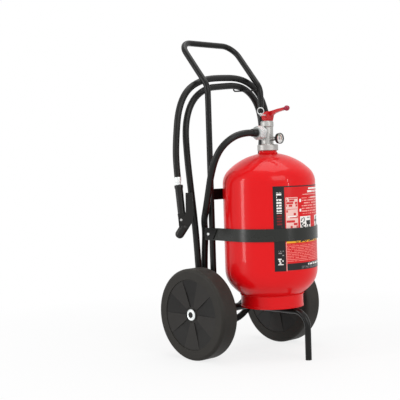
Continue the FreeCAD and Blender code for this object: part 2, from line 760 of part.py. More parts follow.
def build_frame():
    handle = handle_route()
    tube = sweep(handle, tube_radius).cut(sweep(handle, tube_radius - tube_wall))
    bent = solid("handle_tube", tube)
    saddle = cylinder("handle_saddle", axle_tube_radius, 400, (-200, axle_y, wheel_radius), (1, 0, 0))
    bolt_bore = cylinder("leg_bolt_bore", bolt_radius + 0.3, 400, (-200, bolt_y, band_z), (1, 0, 0))
    node("handle_frame", cut("handle_frame", bent, saddle, bolt_bore))

    outside = cylinder("axle_outside", axle_tube_radius, axle_tube_half * 2,
                       (-axle_tube_half, axle_y, wheel_radius), (1, 0, 0))
    inside = cylinder("axle_inside", axle_radius + 0.3, 400, (-200, axle_y, wheel_radius), (1, 0, 0))
    node("axle_tube", cut("axle_tube", outside, inside))
    rod_end = wheel_x + hub_half + 1.9
    rod = cylinder("axle_bar", axle_radius, rod_end * 2, (-rod_end, axle_y, wheel_radius), (1, 0, 0))
    nose_end = wheel_x + wheel_half_width - 1
    nose = cylinder("axle_nose", axle_end_radius, nose_end * 2, (-nose_end, axle_y, wheel_radius), (1, 0, 0))
    node("axle_rod", fuse("axle_rod", rod, nose))

    base = rounded_route([
        (0, axle_y, base_z), (0, foot_y, base_z), (0, foot_y, 3),
    ], [handle_bend.number])
    base_tube = solid("base_bent", sweep(base, tube_radius).cut(sweep(base, tube_radius - tube_wall)))
    base_saddle = cylinder("base_saddle", axle_tube_radius, 60, (-30, axle_y, wheel_radius), (1, 0, 0))
    node("base_tube", cut("base_tube", base_tube, base_saddle))
    plug_radius = tube_radius - tube_wall - 0.02
    node("leg_cap", turned("leg_cap", [
        (0, 0), (tube_radius - 0.6, 0), (tube_radius, 0.6), (tube_radius, 2.98), (plug_radius, 2.98),
        (plug_radius, 22), (0, 22),
    ], (0, foot_y, 0)))
    strap = block("strap_bar", (leg_half * 2 + 20, 3, strap_height),
                  (-leg_half - 10, axle_y + tube_radius, strap_low))
    node("rear_strap", strap)


def build_clamp():
    """The band wraps the tank's front; its ends bolt through the legs, under the plates."""
    inner = tank_radius + 0.3
    outer = inner + band_wall
    out_x = clamp_x + band_wall
    # The ends leave the tank on tangents and turn straight back at the bend, just ahead of the plates.
    bend = 100
    lean = math.atan2(bend, clamp_x.number) - math.acos(inner.number / math.hypot(bend, clamp_x.number))
    loop = [
        (-inner * math.cos(lean), inner * math.sin(lean), inner), (0, -inner, inner),
        (inner * math.cos(lean), inner * math.sin(lean)), (clamp_x, bend), (clamp_x, band_end),
        (out_x, band_end), (out_x, bend), (outer * math.cos(lean), outer * math.sin(lean), -outer),
        (0, -outer, -outer), (-outer * math.cos(lean), outer * math.sin(lean)), (-out_x, bend),
        (-out_x, band_end), (-clamp_x, band_end), (-clamp_x, bend),
    ]
    strip = plate("band_strip", "XY_Plane", [loop], band_height, (0, tank_y, band_z))
    bore = cylinder("band_bore", bolt_radius + 0.3, 400, (-200, bolt_y, band_z), (1, 0, 0))
    node("clamp_band", cut("clamp_band", strip, bore))
    bolts = []
    nuts = []
    for side, word in ((-1, "left"), (1, "right")):
        plate_x = (clamp_x + band_wall + 1.5) * side
        shape = [
            (38, 15), (bolt_y, 19, -19.02), (bolt_y + 19, 0, -19.02), (bolt_y, -19), (57, -17),
        ]
        sheet_plate = plate("plate_%s" % word, "YZ_Plane", [shape], 3, (plate_x, 0, band_z))
        hole = cylinder("plate_bore_%s" % word, bolt_radius + 0.3, 40, (plate_x - 20, bolt_y, band_z), (1, 0, 0))
        node("clamp_plate_" + word, cut("clamp_plate_" + word, sheet_plate, hole))
        outward = (side, 0, 0)
        head_x = (clamp_x + band_wall + 3.02) * side
        head = turned("bolt_head_%s" % word, [
            (0, 0), (5.2, 0), (5.2, 1.4, 5), (2.5, 3.6), (0, 3.6),
        ], (head_x, bolt_y, band_z), outward)
        shank = cylinder("bolt_shank_%s" % word, bolt_radius, 34.5, ((clamp_x - 27.5) * side, bolt_y, band_z),
                         outward)
        bolts.append(fuse("bolt_%s" % word, head, shank))
        blank = hex_prism("nut_blank_%s" % word, 10, 5, ((clamp_x - 25.2) * side, bolt_y, band_z), outward)
        through = cylinder("nut_bore_%s" % word, bolt_radius + 0.02, 20, ((clamp_x - 35) * side, bolt_y, band_z),
                           outward)
        nuts.append(cut("nut_%s" % word, blank, through))
    node("clamp_bolts", group("clamp_bolts", *bolts))
    node("clamp_nuts", group("clamp_nuts", *nuts))


# The wheels

sector_count = 5
sector_in = 26
sector_out = 111


def sector_star():
    """The recessed sectors' outline: five blades of 36 degrees round a small middle."""
    loop = []
    for index in range(sector_count):
        start = 2 * math.pi * index / sector_count
        stop = start + math.pi / sector_count
        following = start + 2 * math.pi / sector_count
        loop.append((sector_in * math.cos(start), sector_in * math.sin(start)))
        loop.append((sector_out * math.cos(start), sector_out * math.sin(start), sector_out))
        loop.append((sector_out * math.cos(stop), sector_out * math.sin(stop)))
        loop.append((sector_in * math.cos(stop), sector_in * math.sin(stop), sector_in))
    return loop


def build_wheel(side, word):
    centre = (wheel_x * side, axle_y, wheel_radius)
    outward = (side, 0, 0)
    shoulder = wheel_radius - tyre_shoulder
    step = wheel_half_width - tyre_shoulder
    node("tyre_" + word, turned("tyre_" + word, [
        (rim_radius, -wheel_half_width), (shoulder, -wheel_half_width, tyre_shoulder),
        (wheel_radius, -step), (wheel_radius, step, tyre_shoulder), (shoulder, wheel_half_width),
        (rim_radius, wheel_half_width),
    ], centre, outward))
    # The rim's faces dish from just under the tyre's side to the hub; every other sector is recessed.
    disc = turned("disc_" + word, [
        (0, -27), (24, -27), (rim_radius - 1, 2 - wheel_half_width), (rim_radius, 3 - wheel_half_width),
        (rim_radius, wheel_half_width - 3), (rim_radius - 1, wheel_half_width - 2), (24, 27), (0, 27),
    ], centre, outward)
    pockets = []
    for index, face in enumerate((-1, 1)):
        star = plate("star_%s_%d" % (word, index), "YZ_Plane", [sector_star()], 30,
                     (wheel_x * side + 35 * face, axle_y, wheel_radius))
        layer = turned("layer_%s_%d" % (word, index), [
            (0, 25), (sector_in, 25), (60, 26), (sector_out, 31.4), (sector_out, 40), (0, 40),
        ], centre, (face, 0, 0))
        pockets.append(common("pocket_%s_%d" % (word, index), star, layer))
    hub = cylinder("hub_" + word, hub_radius, hub_half * 2,
                   ((wheel_x - hub_half) * side, axle_y, wheel_radius), outward)
    bore = cylinder("hub_bore_" + word, bush_radius, 100, ((wheel_x - 50) * side, axle_y, wheel_radius), outward)
    node("rim_" + word, cut("rim_" + word, fuse("rim_form_" + word, cut("sectors_" + word, disc, *pockets), hub),
                             bore))
    node("wheel_bush_" + word, turned("wheel_bush_" + word, [
        (axle_radius + running_gap, -hub_half), (bush_radius, -hub_half), (bush_radius, hub_half),
        (axle_radius + running_gap, hub_half),
    ], centre, outward))


def build_axle_ends():
    washers = []
    caps = []
    plugs = []
    for side in (-1, 1):
        outward = (side, 0, 0)
        for index, start in enumerate((wheel_x - hub_half - 2.6, wheel_x + hub_half + 0.3)):
            ring = cylinder("washer_ring_%d_%d" % (side, index), 15, 1.6 if index else 2.2,
                            (start * side, axle_y, wheel_radius), outward)
            hole = cylinder("washer_hole_%d_%d" % (side, index), axle_radius + 0.02, 10,
                            ((start - 4) * side, axle_y, wheel_radius), outward)
            washers.append(cut("washer_%d_%d" % (side, index), ring, hole))
        end_at = ((wheel_x + hub_half + 1.95) * side, axle_y, wheel_radius)
        caps.append(turned("cap_%d" % (side + 1), [
            (axle_end_radius + 0.02, 0), (17.2, 0), (18, 0.8), (18, 3), (17, 3.8), (14.5, 3.2), (11.5, 4.6),
            (9.6, 4.6), (9.6, 2), (axle_end_radius + 0.02, 2),
        ], end_at, outward))
        plugs.append(turned("plug_%d" % (side + 1), [
            (0, 5.08), (axle_end_radius + 0.02, 5.08), (axle_end_radius + 0.02, 2.02), (9.55, 2.02),
            (9.55, 5), (8.6, 5.9), (0, 5.9),
        ], end_at, outward))
    node("axle_washers", group("axle_washers", *washers))
    node("axle_caps", group("axle_caps", *caps))
    node("axle_plugs", group("axle_plugs", *plugs))


# The hose: it leaves the outlet, comes down outside the left leg and hangs in two loops

lead_points = [
    (-103, -65, 724), (-147, -57, 714), (-180, -38, 686), (-193, -16, 647), (-181, 19, 591),
    (-174, 36, 550), (-167, 60, 483), (-134, 105, 444), (-114, 120, 402),
]
# One turn's stations, counter-clockwise seen from the front, and how far out the next turn lies.
loop_stations = [
    (-112, 329, -31, -2), (-116, 216, -21, -24), (-79, 156, -12, -34), (-16, 126, 1, -36),
    (54, 137, 6, -37), (105, 184, 22, -25), (130, 277, 21, -10), (143, 389, 28, 0),
    (158, 505, 30, 0), (175, 620, 32, 0), (192, 746, 33, 6), (177, 824, 26, 16),
    (132, 875, 23, 20), (70, 896, 12, 25), (-12, 889, -2, 29), (-82, 882, -10, 28),
    (-149, 839, -19, 37), (-182, 760, -28, 49), (-177, 655, -47, 54), (-165, 549, 0, 0),
    (-152, 445, 0, 0),
]
second_stations = 19
hose_end = (-222, 590)
# The hose comes square onto its ferrule, so its last point stands a little off the loops' plane.
before_end = (-225, 132.5, 641)


def hose_route():
    """The hose's points: the lead, then the two turns worked out from the stations."""
    lead = [vector(along_outlet(nut_reach + nut_length + tail_length + 0.04))]
    lead += [Vector(*point) for point in lead_points]
    turns = []
    for turn in range(2):
        for index, (across, up, wider, higher) in enumerate(loop_stations):
            if turn == 1 and index == second_stations:
                break
            turns.append(Vector(across + turn * wider, coil_y.number, up + turn * higher))
    turns.append(Vector(*before_end))
    turns.append(Vector(hose_end[0], coil_y.number, hose_end[1]))
    return lead, turns


def least_gap(route, apart):
    """The least gap between stretches of a tube that lie further apart along it than given."""
    points = route.discretize(Distance=6)
    least = 1e9
    for index, point in enumerate(points):
        for other in points[index + int(apart / 6):]:
            least = min(least, point.distanceToPoint(other))
    return least - 2 * hose_radius.number


def build_hose():
    lead, turns = hose_route()
    join = (lead[-1] + turns[0]) * 0.5
    pieces = (("hose_lead", lead + [join]), ("hose_coil", [join] + turns))
    whole = lead + turns
    radii = soft_radii(whole)
    print("hose radii", [round(radius) for radius in radii])
    total = 0
    for name, points in pieces:
        route = rounded_route(points, soft_radii(points))
        tube = sweep(route, hose_radius)
        section = math.pi * hose_radius.number ** 2
        print(name, "length", round(route.Length), "volume ratio",
              round(tube.Volume / (section * route.Length), 4), "least gap", round(least_gap(route, 300), 2))
        total += route.Length
        node(name, solid(name, tube))
    print("hose length", round(total))


def strands_over(across):
    """Height and slope of the two strands that cross the loops' top at this distance aside."""
    lead, turns = hose_route()
    points = rounded_route(turns, soft_radii(turns)).discretize(Distance=3)
    found = []
    for before, after in zip(points, points[1:]):
        if before.z > 700 and (before.x - across) * (after.x - across) <= 0:
            share = (across - before.x) / (after.x - before.x)
            slope = (after.z - before.z) / (after.x - before.x)
            found.append((before.z + share * (after.z - before.z), slope))
    return sorted(found)


hook_rod = 2.5
hook_gap = 0.5
hook_in = 45


def build_hooks():
    """Round rods welded behind each leg slant inward under the tops of the hose's loops."""
    ahead = coil_y.number - axle_y.number
    reach = math.hypot(hook_in, ahead)
    past = 1 + 16 / ahead
    for side, word in ((-1, "left"), (1, "right")):
        leg_x = (leg_half * side).number
        across = leg_x - hook_in * side
        (low, low_slope), (high, high_slope) = strands_over(across)
        slant = math.hypot(1, max(abs(low_slope), abs(high_slope)) * reach / ahead)
        lift = (hose_radius.number + hook_rod + hook_gap) * slant
        seats = [low - lift]
        # A second rod carries the outer loop where the space between the loops takes it.
        if (high - low) / 2 > (hose_radius.number + hook_rod + 0.3) * slant:
            seats.append((low + high) / 2)
        rods = []
        for seat in seats:
            tip_x = leg_x - hook_in * side * past
            tip_y = axle_y.number + ahead * past
            root = (leg_x - 0.12 * hook_in * side, axle_y.number + 0.12 * ahead, seat)
            bend = rounded_route([root, (tip_x, tip_y, seat), (tip_x, tip_y, seat + 14)], [6])
            rods.append(solid("hook_rod_%s_%d" % (word, len(rods)), sweep(bend, hook_rod)))
        print("hook", word, [round(seat, 1) for seat in seats])
        leg = solid("hook_leg_" + word, sweep(handle_route(), tube_radius))
        rods_form = fuse("hook_rods_" + word, *rods) if len(rods) > 1 else rods[0]
        node("hose_hook_" + word, cut("hose_hook_" + word, rods_form, leg))


# The nozzle on the hose's end: a hand grip with a squeeze lever, seen square from the front left.
# Its own frame: X to the viewer's right, Y away, Z up, its origin under the hose's end.

nozzle_turn = -44
grip_lean = 0.0765


def in_nozzle(item):
    """Moves a piece built in the nozzle's frame to where the nozzle hangs."""
    turn = FreeCAD.Rotation(Vector(0, 0, 1), nozzle_turn)
    shift = FreeCAD.Placement(Vector(hose_end[0], coil_y.number, 0), turn)
    item.Placement = shift.multiply(item.Placement)
    return item


def nozzle_turned(name, profile):
    """A turned piece on the grip's leaning axis; profile heights are measured down from its top."""
    return turned(name, profile, (0, 0, 590), (grip_lean, 0, -1))


def build_nozzle():
    node("hose_ferrule", in_nozzle(nozzle_turned("hose_ferrule", [
        (0, 0.08), (11.4, 0.08), (11.4, 4), (10.9, 5), (11.2, 6), (10.4, 14), (8.6, 20), (8.3, 25), (0, 25),
    ])))
    node("nozzle_collar", in_nozzle(nozzle_turned("nozzle_collar", [
        (0, 25.02), (9.5, 25.02), (11, 26), (13.6, 26.4), (14.2, 27.4), (14.2, 35), (13.2, 36.5), (0, 36.5),
    ])))
    node("nozzle_grip", in_nozzle(nozzle_turned("nozzle_grip", [
        (0, 36.52), (12.9, 36.52), (12.9, 38.5), (12.6, 41), (12.6, 90), (12.3, 119), (0, 119),
    ])))
    pin_x = 7.2
    pin_z = 452
    plunger_z = 461
    body_half = 12
    lever_in = 13.2
    lever_out = 16.2
    barrel_way = (-0.56, 0, -0.83)
    body = plate("gun_body", "XZ_Plane", [[
        (-4, 470.3), (21, 472.2), (31, 468), (35.5, 462), (35.5, 452), (38.5, 442), (38.8, 436.5),
        (29.8, 422), (10, 416), (-0.7, 431), (-1.5, 444), (-2.4, 457),
    ]], body_half * 2)
    barrel = turned("gun_barrel", [
        (0, -8), (8, -8), (12.5, -4), (14.6, 2), (14.6, 30, 14.6), (0, 44.6),
    ], (17.7, 0, 430), barrel_way)
    bore = cylinder("gun_bore", 5, 60, (13.2, 0, 423.4), barrel_way)
    pin_bore = cylinder("gun_pin_bore", 3, 60, (pin_x, -30, pin_z), (0, 1, 0))
    plunger_bore = cylinder("gun_plunger_bore", 2.55, 30, (18, 0, plunger_z), (1, 0, 0))
    pocket = cylinder("gun_pocket", 7.5, 7, (pin_x, 5.5, pin_z), (0, 1, 0))
    node("nozzle_body", in_nozzle(cut("nozzle_body", fuse("gun_form", body, barrel), bore, pin_bore,
                                      plunger_bore, pocket)))

    # The squeeze lever is a channel whose cheeks pass on both sides of the grip.
    full = plate("squeeze_full", "XZ_Plane", [[
        (23.8, 538), (44, 538), (46, 534), (47, 500), (47, 462), (45, 447), (39, 436.8), (22, 434.5),
        (5, 441.5), (0.8, 448), (1.6, 456), (8, 461), (18, 464), (21.5, 472), (22.4, 480),
    ]], lever_out * 2)
    hollow = plate("squeeze_hollow", "XZ_Plane", [[
        (-60, 405), (-60, 560), (40.5, 560), (43, 500), (43, 462), (41, 447), (41, 405),
    ]], lever_in * 2)
    squeeze_bore = cylinder("squeeze_bore", 3 + running_gap, 60, (pin_x, -30, pin_z), (0, 1, 0))
    node("nozzle_lever", in_nozzle(cut("nozzle_lever", full, hollow, squeeze_bore)))
    shaft = cylinder("gun_pin_shaft", 3, 34.4, (pin_x, -17.2, pin_z), (0, 1, 0))
    heads = [cylinder("gun_pin_head_%d" % index, 3.9, 1.4, (pin_x, start, pin_z), (0, 1, 0))
             for index, start in enumerate((-17.8, 16.4))]
    node("nozzle_pin", in_nozzle(fuse("nozzle_pin", shaft, *heads)))
    node("nozzle_plunger", in_nozzle(turned("nozzle_plunger", [
        (0, 0), (2.5, 0), (2.5, 17.2), (3.4, 17.2), (3.4, 19.2), (0, 19.2),
    ], (22.3, 0, plunger_z), (1, 0, 0))))
    spring = place(solid("nozzle_spring", wound_wire(5.4, 0.6, 4.6, 3)), (pin_x, 6.4, pin_z), (0, 1, 0))
    node("nozzle_spring", in_nozzle(spring))


build_tank()
build_label()
build_valve()
build_lever()
build_safety_pin()
build_gauge()
build_frame()
build_clamp()
for wheel_side, wheel_word in ((-1, "left"), (1, "right")):
    build_wheel(wheel_side, wheel_word)
build_axle_ends()
build_hose()
build_hooks()
build_nozzle()
doc.recompute()

for item in doc.Objects:
    if "Invalid" in item.State or "Error" in item.State:
        raise RuntimeError("%s is %s" % (item.Label, item.State))
os.makedirs("parts", exist_ok=True)
for name, item in nodes.items():
    if item.Shape.isNull() or not item.Shape.isValid():
        raise RuntimeError("%s has no valid shape" % name)
    item.Shape.exportStep("parts/%s.step" % name)
print(len(nodes), "nodes written")
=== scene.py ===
# %% [markdown]
# # A wheeled fire extinguisher
#
# This lesson dresses a red extinguisher on a two-wheeled trolley. The solid parts come from the
# imported model, and every Blender piece is in the same frame, in metres, with the wheels on Z = 0
# and the label facing -Y. We load the model first.

# %% Load the frame
import json
import math

import bmesh
import bpy
from mathutils import Matrix, Vector


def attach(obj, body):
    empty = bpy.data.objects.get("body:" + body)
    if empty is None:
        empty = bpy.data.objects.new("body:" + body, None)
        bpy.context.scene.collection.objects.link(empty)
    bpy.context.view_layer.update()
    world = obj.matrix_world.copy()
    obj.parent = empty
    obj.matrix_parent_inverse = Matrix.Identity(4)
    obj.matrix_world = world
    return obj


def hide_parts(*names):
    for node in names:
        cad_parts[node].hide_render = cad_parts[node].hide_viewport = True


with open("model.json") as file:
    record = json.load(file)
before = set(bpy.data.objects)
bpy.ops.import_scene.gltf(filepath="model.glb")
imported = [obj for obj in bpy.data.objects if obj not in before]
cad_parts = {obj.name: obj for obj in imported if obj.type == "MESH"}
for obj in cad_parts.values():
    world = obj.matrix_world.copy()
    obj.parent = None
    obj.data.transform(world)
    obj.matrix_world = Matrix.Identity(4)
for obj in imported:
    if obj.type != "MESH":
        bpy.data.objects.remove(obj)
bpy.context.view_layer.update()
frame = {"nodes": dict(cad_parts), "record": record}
nodes = frame["nodes"]
MM = 0.001
TANK_Y = -65
AXLE_Y = 75
AXLE_Z = 148
LEG_X = 127
OUTLET_Z = 724
GAUGE_Z = 704

# %% [markdown]
# ## The camera
#
# The picture is taken from the front left with a long lens, from about the height of the tank's
# shoulder, with the horizon turned by under two degrees. A camera in Blender looks along its own
# -Z, so its rotation is a matrix whose columns are its right, up and backward directions.

# %% Camera
EYE = Vector((-2.3266, -2.1500, 0.6256))
YAW = math.radians(44.0)
PITCH = math.radians(2.07)
ROLL = math.radians(1.84)
SENSOR = 36.0
FOCAL = 86.28

forward = Vector((math.sin(YAW) * math.cos(PITCH), math.cos(YAW) * math.cos(PITCH), -math.sin(PITCH)))
level_right = Vector((math.cos(YAW), -math.sin(YAW), 0))
level_down = forward.cross(level_right)
right = level_right * math.cos(ROLL) + level_down * math.sin(ROLL)
down = level_down * math.cos(ROLL) - level_right * math.sin(ROLL)

camera_data = bpy.data.cameras.new("camera")
camera_data.sensor_width = SENSOR
camera_data.lens = FOCAL
camera = bpy.data.objects.new("camera", camera_data)
camera.matrix_world = Matrix((
    (right.x, -down.x, -forward.x, EYE.x),
    (right.y, -down.y, -forward.y, EYE.y),
    (right.z, -down.z, -forward.z, EYE.z),
    (0, 0, 0, 1),
))
bpy.context.scene.collection.objects.link(camera)
bpy.context.scene.camera = camera
print("camera at", [round(value, 3) for value in EYE])

# %% [markdown]
# ## The hose's line
#
# The real hose is a 22 mm rubber tube. It leaves the valve to the left, drops outside the left
# leg, hangs in two tall loops on hooks behind the legs and ends in the nozzle's fitting. A NURBS
# curve bends the way rubber does: its points pull the line without it touching them. The lead's
# points are listed, and the two turns come from one list of stations, each with how far out
# its second turn lies.

# %% Hose
HOSE_RADIUS = 11
OUTLET_REACH = 74.04
LOOP_Y = 130
hose_start = Vector((-OUTLET_REACH, TANK_Y, OUTLET_Z))
lead_points = [
    (-103, -65, 724), (-147, -57, 714), (-180, -38, 686), (-193, -16, 647), (-181, 19, 591),
    (-174, 36, 550), (-167, 60, 483), (-134, 105, 444), (-114, 120, 402),
]
loop_stations = [
    (-112, 329, -31, -2), (-116, 216, -21, -24), (-79, 156, -12, -34), (-16, 126, 1, -36),
    (54, 137, 6, -37), (105, 184, 22, -25), (130, 277, 21, -10), (143, 389, 28, 0),
    (158, 505, 30, 0), (175, 620, 32, 0), (192, 746, 33, 6), (177, 824, 26, 16),
    (132, 875, 23, 20), (70, 896, 12, 25), (-12, 889, -2, 29), (-82, 882, -10, 28),
    (-149, 839, -19, 37), (-182, 760, -28, 49), (-177, 655, -47, 54), (-165, 549, 0, 0),
    (-152, 445, 0, 0),
]
SECOND_STATIONS = 19
last_points = [(-225, 132.5, 641), (-222, 130, 590)]

hose_points = [hose_start] + [Vector(point) for point in lead_points]
for turn in range(2):
    for across, up, wider, higher in loop_stations[:SECOND_STATIONS if turn else None]:
        hose_points.append(Vector((across + turn * wider, LOOP_Y, up + turn * higher)))
hose_points += [Vector(point) for point in last_points]

hose_curve = bpy.data.curves.new("hose", "CURVE")
hose_curve.dimensions = "3D"
hose_curve.resolution_u = 6
hose_curve.bevel_depth = HOSE_RADIUS * MM
hose_curve.bevel_resolution = 5
hose_curve.use_fill_caps = True
line = hose_curve.splines.new("NURBS")
line.points.add(len(hose_points) - 1)
for spot, point in zip(line.points, hose_points):
    spot.co = (*(point * MM), 1)
line.order_u = 3
line.use_endpoint_u = True
hose = bpy.data.objects.new("hose", hose_curve)
bpy.context.scene.collection.objects.link(hose)
print("hose of", len(hose_points), "points")

# %% [markdown]
# ## Small helpers for node trees
#
# A material is a tree of nodes. A few helpers keep each one short: `add` makes a node and sets or
# links its inputs, `calc` makes one Math node, `blend` mixes two colours, and `colour` turns the
# 0 to 255 numbers of a screen into the linear light that a shader works in.

# %% Node helpers
def add(tree, kind, inputs=None, **settings):
    """One node, with its settings, and its inputs set to a value or linked to a socket."""
    made = tree.nodes.new(kind)
    for key, value in settings.items():
        setattr(made, key, value)
    for key, value in (inputs or {}).items():
        if isinstance(value, bpy.types.NodeSocket):
            tree.links.new(value, made.inputs[key])
        else:
            made.inputs[key].default_value = value
    return made


def calc(tree, operation, first, second=0.0, third=0.0):
    """The output of a Math node."""
    return add(tree, "ShaderNodeMath", {0: first, 1: second, 2: third}, operation=operation).outputs[0]


def distance(tree, first, second):
    """The length of the line to a point with these two coordinates."""
    squares = calc(tree, "ADD", calc(tree, "MULTIPLY", first, first), calc(tree, "MULTIPLY", second, second))
    return calc(tree, "SQRT", squares)


def blend(tree, factor, low, high):
    """A colour between two colours."""
    mix = add(tree, "ShaderNodeMix", {"Factor": factor}, data_type="RGBA")
    for socket, value in ((mix.inputs[6], low), (mix.inputs[7], high)):
        if isinstance(value, bpy.types.NodeSocket):
            tree.links.new(value, socket)
        else:
            socket.default_value = value
    return mix.outputs[2]


def colour(red, green, blue):
    """Linear light from a screen's 0 to 255 values."""
    linear = []
    for value in (red, green, blue):
        share = value / 255
        linear.append(share / 12.92 if share <= 0.04045 else ((share + 0.055) / 1.055) ** 2.4)
    return (*linear, 1.0)


def shader_group(name, inputs, outputs):
    """An empty shader group with named sockets, and its two end nodes."""
    tree = bpy.data.node_groups.new(name, "ShaderNodeTree")
    for label, kind, value in inputs:
        tree.interface.new_socket(label, in_out="INPUT", socket_type=kind).default_value = value
    for label, kind in outputs:
        tree.interface.new_socket(label, in_out="OUTPUT", socket_type=kind)
    return tree, tree.nodes.new("NodeGroupInput").outputs, tree.nodes.new("NodeGroupOutput").inputs


NUMBER = "NodeSocketFloat"
COLOUR = "NodeSocketColor"
POINT = "NodeSocketVector"
print("helpers ready")

# %% [markdown]
# ## Effects that many finishes share
#
# Paint, rubber and cast metal differ in colour, but all drift a little in tone, have a fine
# grain and catch some dust on faces that look up. Each effect is a node group with named inputs,
# so a material places it with its own numbers.

# %% Shared groups
tone_group, given, put = shader_group(
    "tone_drift", [("Color", COLOUR, (1, 1, 1, 1)), ("Scale", NUMBER, 8), ("Amount", NUMBER, 0.1)],
    [("Color", COLOUR)])
place = add(tone_group, "ShaderNodeTexCoord").outputs["Object"]
cloud = add(tone_group, "ShaderNodeTexNoise", {"Vector": place, "Scale": given["Scale"], "Detail": 3})
swing = calc(tone_group, "SUBTRACT", cloud.outputs[0], 0.5)
level = calc(tone_group, "MULTIPLY_ADD", swing, given["Amount"], 1.0)
drifted = add(tone_group, "ShaderNodeVectorMath", {0: given["Color"], "Scale": level}, operation="SCALE")
tone_group.links.new(drifted.outputs[0], put["Color"])

grain_group, given, put = shader_group(
    "fine_grain", [("Scale", NUMBER, 500), ("Roughness", NUMBER, 0.5), ("Spread", NUMBER, 0.1)],
    [("Height", NUMBER), ("Roughness", NUMBER)])
place = add(grain_group, "ShaderNodeTexCoord").outputs["Object"]
fine = add(grain_group, "ShaderNodeTexNoise", {"Vector": place, "Scale": given["Scale"], "Detail": 2})
patch = add(grain_group, "ShaderNodeTexNoise", {"Vector": place, "Scale": 14, "Detail": 4})
swing = calc(grain_group, "SUBTRACT", patch.outputs[0], 0.5)
rough = calc(grain_group, "MULTIPLY_ADD", swing, given["Spread"], given["Roughness"])
grain_group.links.new(fine.outputs[0], put["Height"])
grain_group.links.new(rough, put["Roughness"])

dust_group, given, put = shader_group(
    "dust_film", [("Color", COLOUR, (1, 1, 1, 1)), ("Dust", COLOUR, colour(150, 146, 138)),
                  ("Amount", NUMBER, 0.2)],
    [("Color", COLOUR)])
place = add(dust_group, "ShaderNodeTexCoord").outputs["Object"]
facing = add(dust_group, "ShaderNodeSeparateXYZ",
             {0: add(dust_group, "ShaderNodeNewGeometry").outputs["Normal"]}).outputs["Z"]
lying = calc(dust_group, "MAXIMUM", calc(dust_group, "MULTIPLY_ADD", facing, 0.8, 0.2), 0.0)
cloud = add(dust_group, "ShaderNodeTexNoise", {"Vector": place, "Scale": 30, "Detail": 5})
share = calc(dust_group, "MULTIPLY", calc(dust_group, "MULTIPLY", lying, cloud.outputs[0]), given["Amount"])
dust_group.links.new(blend(dust_group, share, given["Color"], given["Dust"]), put["Color"])
print("shared groups:", tone_group.name, grain_group.name, dust_group.name)

# %% [markdown]
# ## One function for a plain finish
#
# Most finishes are one colour with the shared effects. The function starts a Principled BSDF,
# runs the colour through tone and dust, and takes roughness and a fine bump from the grain.

# %% Finish function
def start_material(name, **constants):
    """A material with a Principled BSDF whose plain values sit on its own sockets."""
    made = bpy.data.materials.new(name)
    made.use_nodes = True
    tree = made.node_tree
    shader = tree.nodes["Principled BSDF"]
    for key, value in constants.items():
        shader.inputs[key.replace("_", " ")].default_value = value
    return made, tree, shader


def roughen(tree, shader, roughness, spread, grain, depth):
    """Grain for the roughness and for a fine bump of this depth in millimetres."""
    noise = add(tree, "ShaderNodeGroup", node_tree=grain_group)
    noise.inputs["Scale"].default_value = grain
    noise.inputs["Roughness"].default_value = roughness
    noise.inputs["Spread"].default_value = spread
    tree.links.new(noise.outputs["Roughness"], shader.inputs["Roughness"])
    bump = add(tree, "ShaderNodeBump", {"Height": noise.outputs["Height"], "Strength": 0.6,
                                        "Distance": depth * MM})
    tree.links.new(bump.outputs[0], shader.inputs["Normal"])


def tint(tree, shader, value, tone, scale, dust):
    """A colour through the tone and dust groups into the base colour."""
    drift = add(tree, "ShaderNodeGroup", node_tree=tone_group)
    drift.inputs["Scale"].default_value = scale
    drift.inputs["Amount"].default_value = tone
    if isinstance(value, bpy.types.NodeSocket):
        tree.links.new(value, drift.inputs["Color"])
    else:
        drift.inputs["Color"].default_value = value
    film = add(tree, "ShaderNodeGroup", node_tree=dust_group)
    film.inputs["Amount"].default_value = dust
    tree.links.new(drift.outputs[0], film.inputs["Color"])
    tree.links.new(film.outputs[0], shader.inputs["Base Color"])


def finish(name, value, roughness, spread=0.1, grain=500, depth=0.05, tone=0.12, scale=8, dust=0.1,
           **constants):
    """A finish of one colour with the shared effects."""
    made, tree, shader = start_material(name, **constants)
    tint(tree, shader, value, tone, scale, dust)
    roughen(tree, shader, roughness, spread, grain, depth)
    return made


